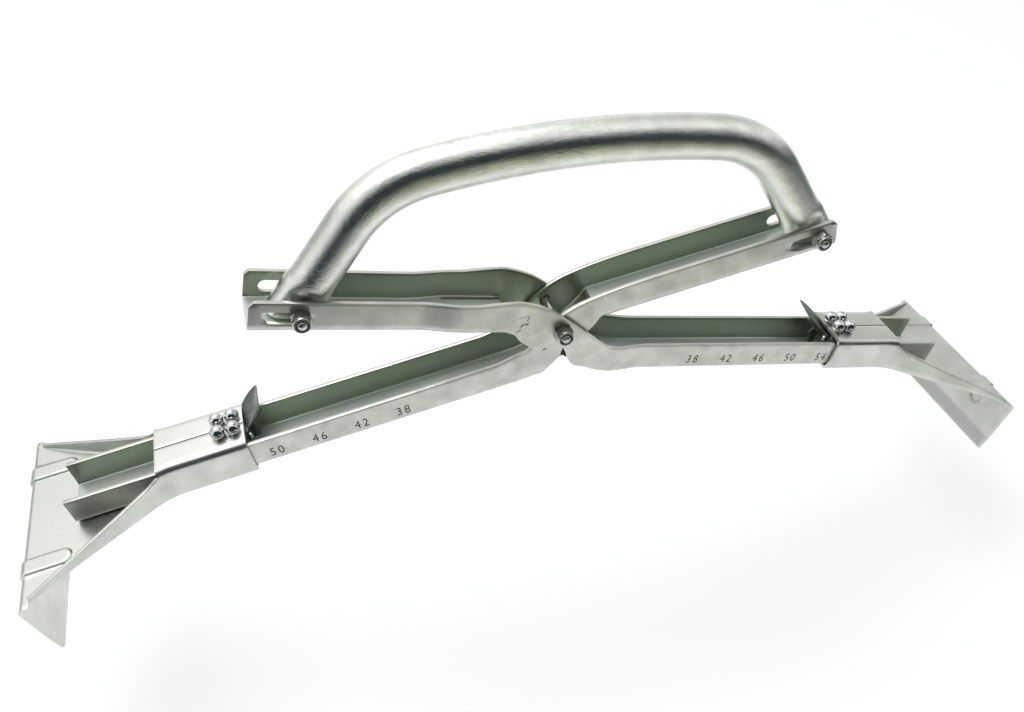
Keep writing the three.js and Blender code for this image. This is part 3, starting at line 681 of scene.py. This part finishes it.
def handlePiece():
    s, x, z, slope = (np.concatenate([side * values[:0:-1], values])
                      for side, values in zip((1, -1, 1, -1), handleLine()))
    pinAt = s[-1] - handle["tubeEnd"]
    flat = smoothStep(s, pinAt - handle["flatStart"], pinAt - handle["flatEnd"])[:, None]
    turn = np.linspace(0, tau, handle["sides"], endpoint=False)[None, :]
    radius = handle["radius"]
    inPlane = (radius + (handle["flatWide"] - radius) * flat) * np.cos(turn)
    loose, power = radius + handle["slack"], handle["power"]
    limit = loose + (handle["flatHalf"] - loose) * flat
    plain = radius * np.sin(turn)
    # soft clamp: the plain height where it is small, the limit where it is large
    across = plain / (1 + np.abs(plain / limit) ** power) ** (1 / power)
    points = np.stack([x[:, None] + inPlane * np.sin(slope)[:, None], across + 0 * x[:, None],
                       z[:, None] + inPlane * np.cos(slope)[:, None]], axis=-1)
    rows, columns = points.shape[:2]
    faces = gridQuads(rows, columns, wrap=True).reshape(-1, 4).tolist()
    faces += [list(range(columns)), list(range((rows - 1) * columns, rows * columns))]
    piece = addPiece("handleTube", points, faces)
    # each flat end is trimmed under its pin by two sloping cuts, and bored
    reach, half = handle["cutReach"], handle["cutHalf"]
    for side in (-1, 1):
        pin = np.array([side * halfPins, -handle["rise"]])
        for degrees in handle["slopes"]:
            angle = side * math.radians(degrees)
            along = np.array([math.cos(angle), math.sin(angle)])
            down = np.array([along[1], -along[0]])
            base = pin + down * handle["webReach"]
            outline = [base - along * reach, base + along * reach, base + (along + down) * reach,
                       base + (down - along) * reach]
            cutAway(piece, prismAlongY("cutter", [outline], -half, half, rootPose))
        cutAway(piece, prismAlongY("cutter", [circleOutline(*pin, handle["hole"])], -half, half, rootPose))
    smoothFaces(piece, 40)
    return piece


dress(handlePiece(), zinc["tubeZinc"], "handle_zinc", "handle", "handle_tube")
print("handle made")


# Bolts, lock nuts and rings, turned about an axis along y

fastener = {"boltRadius": 2.5, "flats": 8.0, "headHeight": 3.5, "nutHeight": 3.8, "collarHeight": 1.3,
            "collarRadius": 3.8, "ringRadius": 3.2, "ringHeight": 0.9, "tip": 0.9, "tipRadius": 2.0,
            "threadEnd": (0.4, 0.7), "seatGap": 0.3, "seatEdge": 0.1, "chamferRadius": 3.75,
            "chamferDepths": (0, 0.12, 0.24, 0.36, 0.5), "headDish": 0.4, "lip": 0.45, "ringEdge": 0.15,
            "steps": 72}


# Surface turned about y: at each step of the profile the radius is the round one, or the hexagon's,
# flats / 2 / cos(angle to the nearest flat), held inside a cone that chamfers its corners
def turned(name, profile, centre, closed=False):
    turn = np.linspace(0, tau, fastener["steps"], endpoint=False)[None, :]
    y, plainRadius, hexShare = profileColumns(profile)
    hexagon = fastener["flats"] / 2 / np.cos(np.mod(turn, math.pi / 3) - math.pi / 6)
    radius = np.where(hexShare > 0, np.minimum(hexagon, plainRadius), plainRadius)
    pose = {**rootPose, "origin": np.array(centre)}
    return spunPiece(name, y, radius, fastener["steps"], "zxy", (0, 0, 0), pose, closed, 32)


def fastenerSet(name, centre, halfWidth, boltBody, nutBody):
    f = fastener
    seat = halfWidth + f["seatGap"]
    nutFront = -seat - f["nutHeight"]
    collarFront = nutFront - f["collarHeight"]
    tip = collarFront - f["tip"]
    corner, seatEdge = f["flats"] / math.sqrt(3), f["seatEdge"]
    cone = [(depth, f["chamferRadius"] + depth * math.sqrt(3), 1) for depth in f["chamferDepths"]]
    headTop = seat + f["headHeight"]
    dome = [(tip + f["tip"] * (1 - math.cos(a)), f["tipRadius"] * math.sin(a), 0)
            for a in np.linspace(0, math.pi / 2, 8)]
    narrow, full = (collarFront + place for place in f["threadEnd"])
    profile = dome + [(narrow, f["tipRadius"], 0), (full, f["boltRadius"], 0), (seat, f["boltRadius"], 0),
                      (seat, f["chamferRadius"], 0), (seat + seatEdge, corner, 1),
                      (headTop - f["chamferDepths"][-1], corner, 1)]
    profile += [(headTop - depth, radius, flag) for depth, radius, flag in reversed(cone)]
    profile += [(headTop, f["chamferRadius"] - f["headDish"], 0), (headTop, 0, 0)]
    bolt = turned(f"{name}Bolt", profile, centre)
    dress(bolt, zinc["boltZinc"], "fastener_zinc", boltBody, f"{name}_bolt")

    bore = f["boltRadius"] + f["seatGap"] / 2
    recess = f["ringRadius"] + f["seatGap"] / 2
    ringBack = collarFront + f["ringHeight"]
    recessBack = ringBack + f["seatGap"]
    lip, edge = f["lip"], f["ringEdge"]
    roundLip = [(collarFront + lip - lip * math.sin(a), f["collarRadius"] - lip + lip * math.cos(a), 0)
                for a in np.linspace(0, math.pi / 2, 5)]
    profile = [(-seat, bore, 0), (-seat, f["chamferRadius"], 0), (-seat - seatEdge, corner, 1)]
    profile += [(nutFront + depth, radius, flag) for depth, radius, flag in reversed(cone)]
    profile += [(nutFront, f["collarRadius"], 0)] + roundLip
    profile += [(collarFront, recess, 0), (recessBack, recess, 0), (recessBack, bore, 0)]
    nut = turned(f"{name}Nut", profile, centre, closed=True)
    dress(nut, zinc["boltZinc"], "fastener_zinc", nutBody, f"{name}_nut")

    profile = [(collarFront + edge, f["ringRadius"], 0), (collarFront, f["ringRadius"] - edge, 0),
               (collarFront, bore + edge, 0), (collarFront + edge, bore, 0), (ringBack, bore, 0),
               (ringBack, f["ringRadius"], 0)]
    ring = turned(f"{name}Ring", profile, centre, closed=True)
    dress(ring, nylon, "nylon", nutBody, f"{name}_ring")


pinZ = joints["open_levers"]["pos_m"][2]
fastenerSet("left", joints["open_levers"]["pos_m"], lever["halfWidth"], "left_pin", "left_pin_nut")
fastenerSet("right", (halfPins * mm, 0, pinZ), lever["halfWidth"], "handle", "handle")
fastenerSet("pivot", joints["pivot_open"]["pos_m"], lever["cheekHalf"], "middle_pin", "middle_pin")
print("bolts and nuts made")


# Latches: a leaf under the sleeve's roof, four round-headed rivets, and the thumb tab with its pawl and stud

latch = {"rivetNear": 4.2, "rivetPitch": 7.0, "rivetSpread": 4.1, "headRadius": 3.4, "headFoot": -48.0,
         "shankRadius": 1.4, "tailRadius": 2.2, "tailHeight": 0.9, "tailEdge": 0.2, "gap": 0.3,
         "leafSheet": 0.8, "tilt": 24.0, "lean": 14.0, "edge": 0.14,
         "tab": ((0.0, -2.2), (-3.4, 0.0), (-8.7, 6.0), (-9.7, 17.6), (-9.5, 18.2), (-9.0, 18.3),
                 (-5.2, 16.9), (-2.2, 14.9), (0.0, 12.7)),
         "rim": 0.55, "rimDrop": 1.5, "rimShare": 0.7, "rootEnd": 8.5, "pawlPlace": 3.7, "pawlHalf": 1.5,
         "pawlDrop": 9.5, "wing": (2.4, 6.6, 4.0), "wingCorner": (1.8, 0.6, 4.0), "studRadius": 1.5,
         "studHeight": 1.1, "studDrop": 1.9, "studShank": 0.7, "studTail": 0.6}
leafTop = jawTop - jaw["sheet"] - latch["gap"]
leafFoot = leafTop - latch["leafSheet"]


def rivetPiece(name, pose, x, y):
    head, tail, foot = jawRoof, leafFoot - latch["gap"], math.radians(latch["headFoot"])
    radius = latch["headRadius"]
    ball = [(head + radius * (math.sin(a) - math.sin(foot)), radius * math.cos(a))
            for a in np.linspace(foot, math.pi / 2, 24)]
    end = tail - latch["tailHeight"]
    edge, flange, shank = (latch[key] for key in ("tailEdge", "tailRadius", "shankRadius"))
    profile = [(end, 0), (end, flange - edge), (end + edge, flange), (tail, flange), (tail, shank),
               (head, shank)] + ball
    return spunPiece(name, *profileColumns(profile), 40, "xyz", (x, y, 0), pose)


# closed plate of the tab: its plane is turned by tilt about y and by lean about x, at the mouth of the sleeve
def tabShell(outline, low, high):
    flat, faces = prismShell(outline, low, high, 2)
    a, b = math.radians(latch["tilt"]), math.radians(latch["lean"])
    aroundY = np.array([[math.cos(a), 0, math.sin(a)], [0, 1, 0], [-math.sin(a), 0, math.cos(a)]])
    aroundX = np.array([[1, 0, 0], [0, math.cos(b), -math.sin(b)], [0, math.sin(b), math.cos(b)]])
    shift = np.array([-latch["gap"] - latch["leafSheet"] * math.sin(a), 0, leafFoot])
    return flat @ (aroundX @ aroundY).T + shift, faces


# Tab, rim, root, pawl and its side wing; the far side is +y on the right jaw and -y on the left
def latchPiece(name, pose, way):
    sheet, front = latch["leafSheet"], -latch["gap"]
    back, foot = front - sheet, leafFoot - latch["pawlDrop"]
    lower = np.array(latch["tab"][1:3])
    rim = np.concatenate([lower, lower[::-1] - latch["rim"]])
    near, far = (-latch["pawlPlace"] + side * latch["pawlHalf"] for side in (-1, 1))
    pawl, root = ([(back, near), (front, near), (front, end), (back, end)] for end in (far, latch["rootEnd"]))
    wingY, wingReach, wingFoot = latch["wing"]
    inset, high, low = latch["wingCorner"]
    wing = [(back, leafTop), (front - wingReach + inset, leafTop - high), (front - wingReach, leafTop - low),
            (front - wingFoot, foot), (back, foot)]
    points, faces = joinShells([
        tabShell(latch["tab"], 0, sheet), tabShell(rim, -latch["rimDrop"], sheet * latch["rimShare"]),
        prismShell(root, leafFoot, leafTop, 2), prismShell(pawl, foot, leafTop, 2),
        prismShell(wing, wingY, wingY + sheet)])
    piece = addPiece(name, points * np.array([1, way, 1]), faces, pose)
    breakEdges(piece, latch["edge"])
    return piece


def studPiece(name, pose, way):
    radius, shank, tail = latch["studRadius"], latch["studShank"], latch["studTail"]
    foot = latch["leafSheet"] + 2 * latch["gap"]
    profile = [(-tail, 0), (-tail, radius), (0, radius), (0, shank), (foot, shank)]
    profile += [(foot + latch["studHeight"] * math.sin(a), radius * math.cos(a))
                for a in np.linspace(0, math.pi / 2, 10)]
    out, ring = profileColumns(profile)
    centre = (0, -way * latch["pawlPlace"], leafFoot - latch["studDrop"])
    return spunPiece(name, -out, ring, 32, "yzx", centre, pose)


for side, pose in jawPoses.items():
    places = [(latch["rivetNear"] + row * latch["rivetPitch"], way * latch["rivetSpread"])
              for row in (0, 1) for way in (-1, 1)]
    for number, (x, y) in enumerate(places, 1):
        rivet = rivetPiece(f"{side}Rivet{number}", pose, x, y)
        dress(rivet, chrome, "bright_steel", f"{side}_jaw", f"{side}_rivet_{number}")
    for place in frame["nodes"][f"{side}_leaf"].material_slots:
        place.material = chrome
    way = 1 if side == "right" else -1
    dress(latchPiece(f"{side}LatchTab", pose, way), zinc["latchShadedZinc"], "latch_zinc", f"{side}_latch",
          f"{side}_latch")
    dress(studPiece(f"{side}LatchStud", pose, way), chrome, "bright_steel", f"{side}_latch", f"{side}_stud")
print("latches made")


# Stage: pale floor, white surroundings, one soft lamp, cards for the reflections, and the camera at the
# photograph's viewing angle

stage = {"floorGrey": 0.85, "shadow": 0.6, "glow": 0.47, "floorHeight": -0.262, "cardLift": 0.01,
         "floorSize": 6.0, "sky": (0.95, 0.97, 1, 1), "skyStrength": 0.7, "lens": 32.48, "sensor": 36.0,
         "cameraPlace": (-0.1334, -0.3198, 0.1802), "pitch": 40.711, "yaw": 18.676, "roll": 2.588}


def makeCamera():
    data = bpy.data.cameras.new("camera")
    data.lens = stage["lens"]
    data.sensor_width = stage["sensor"]
    data.clip_start = 0.01
    camera = addObject("camera", data)
    pitch, yaw, roll = (math.radians(stage[key]) for key in ("pitch", "yaw", "roll"))
    forward = Vector((math.sin(yaw) * math.cos(pitch), math.cos(yaw) * math.cos(pitch), -math.sin(pitch)))
    level = Vector((math.cos(yaw), -math.sin(yaw), 0))
    upright = level.cross(forward)
    right = level * math.cos(roll) + upright * math.sin(roll)
    up = right.cross(forward)
    turn = Matrix((right, up, -forward)).transposed()
    camera.matrix_world = Matrix.Translation(stage["cameraPlace"]) @ turn.to_4x4()
    bpy.context.scene.camera = camera


# corners of a level quad between two places along x and two along y
def levelCorners(left, right, near, far, height):
    return [(left, near, height), (right, near, height), (right, far, height), (left, far, height)]


def addQuad(name, corners, material):
    mesh = bpy.data.meshes.new(name)
    mesh.from_pydata([tuple(corner) for corner in corners], [], [(0, 1, 2, 3)])
    mesh.materials.append(material)
    return addObject(name, mesh)


# one shader for camera, glossy and transmission rays, and a plain one for the rays that only carry light
def mixBySight(tree, plain, seen, outputKind):
    path = tree.nodes.new("ShaderNodeLightPath")
    total = path.outputs["Is Camera Ray"]
    for name in ("Is Glossy Ray", "Is Transmission Ray"):
        adding = tree.nodes.new("ShaderNodeMath")
        adding.operation = "ADD"
        adding.use_clamp = True
        tree.links.new(total, adding.inputs[0])
        tree.links.new(path.outputs[name], adding.inputs[1])
        total = adding.outputs[0]
    mix = tree.nodes.new("ShaderNodeMixShader")
    out = tree.nodes.new(outputKind)
    for output, socket in zip((total, plain.outputs[0], seen.outputs[0]), mix.inputs):
        tree.links.new(output, socket)
    tree.links.new(mix.outputs[0], out.inputs["Surface"])


# white where the camera or a reflection looks at it, with the object's soft shadow kept by its diffuse part
def makeFloor():
    material, tree = newMaterial("floorPale")[:2]
    tree.nodes.clear()
    plain, soft = (addNode(tree, "ShaderNodeBsdfDiffuse", Color=(stage[key],) * 3 + (1,))
                   for key in ("floorGrey", "shadow"))
    glow = addNode(tree, "ShaderNodeEmission", Color=(1, 1, 1, 1), Strength=stage["glow"])
    white = tree.nodes.new("ShaderNodeAddShader")
    tree.links.new(soft.outputs[0], white.inputs[0])
    tree.links.new(glow.outputs[0], white.inputs[1])
    mixBySight(tree, plain, white, "ShaderNodeOutputMaterial")
    half = stage["floorSize"] / 2
    addQuad("floor", levelCorners(-half, half, -half, half, stage["floorHeight"]), material)


def makeWorld():
    world = bpy.data.worlds.new("surroundings")
    bpy.context.scene.world = world
    world.use_nodes = True
    tree = world.node_tree
    tree.nodes.clear()
    lit = addNode(tree, "ShaderNodeBackground", Color=stage["sky"], Strength=stage["skyStrength"])
    white = addNode(tree, "ShaderNodeBackground", Color=(1, 1, 1, 1), Strength=1.0)
    mixBySight(tree, lit, white, "ShaderNodeOutputWorld")


# a studio flag: a plain card that only reflections see, as a photographer's dark screen gives metal its bands
def makeCard(name, corners, color):
    material, tree, shader = newMaterial(name)
    setInputs(tree, shader, Base_Color=(0, 0, 0, 1), Specular_IOR_Level=0, Emission_Color=(*color, 1),
              Emission_Strength=1.0)
    card = addQuad(name, corners, material)
    card.visible_camera = card.visible_diffuse = card.visible_shadow = False


# standing on its centre and turned to a target
def standingCard(name, place, target, size, color):
    across, tall = size[0] / 2, size[1] / 2
    corners = np.array(levelCorners(-across, across, -tall, tall, 0))
    turn = np.array((Vector(target) - Vector(place)).to_track_quat("-Z", "Y").to_matrix())
    makeCard(name, corners @ turn.T + np.array(place), color)


# lying just over the floor, between two places along x and two along y
def lyingCard(name, left, right, near, far, color):
    makeCard(name, levelCorners(left, right, near, far, stage["floorHeight"] + stage["cardLift"]), color)


def makeLamp(name, place, target, size, power):
    data = bpy.data.lights.new(name, "AREA")
    data.shape = "RECTANGLE"
    data.size, data.size_y = size
    data.energy = power
    lamp = addObject(name, data)
    lamp.location = place
    lamp.rotation_euler = (Vector(target) - Vector(place)).to_track_quat("-Z", "Y").to_euler()


makeCamera()
makeFloor()
makeWorld()
makeLamp("keyLamp", (-0.5, 0.5, 1.3), (0, 0, -0.1), (1.2, 0.9), 12)
standingCard("frontCard", (0.0, -1.5, 1.17), (0, 0, 1.17), (5.0, 2.84), (0.03, 0.038, 0.045))
standingCard("rightCard", (1.6, 1.3, 1.3), (0.2, 0, -0.1), (1.6, 1.8), (0.55, 0.60, 0.54))
standingCard("leftBackCard", (-1.5, 1.3, 0.0), (0, 0, 0.0), (1.8, 0.5), (0.10, 0.10, 0.11))
standingCard("rightEndCard", (2.3, -0.3, 0.1), (0, -0.3, 0.1), (2.4, 0.75), (0.06, 0.08, 0.07))
lyingCard("leftFloorCard", -2.3, -0.03, -1.48, -0.25, (0.02, 0.03, 0.045))
lyingCard("middleFloorCard", -0.03, 0.33, -1.48, -0.25, (0.56, 0.60, 0.44))
lyingCard("rightFloorCard", 0.33, 2.3, -1.48, -0.25, (0.05, 0.06, 0.055))
lyingCard("farRightCard", 0.8, 2.3, -0.25, 0.9, (0.06, 0.08, 0.07))
bpy.context.scene.view_settings.view_transform = "Standard"
print("stage made")
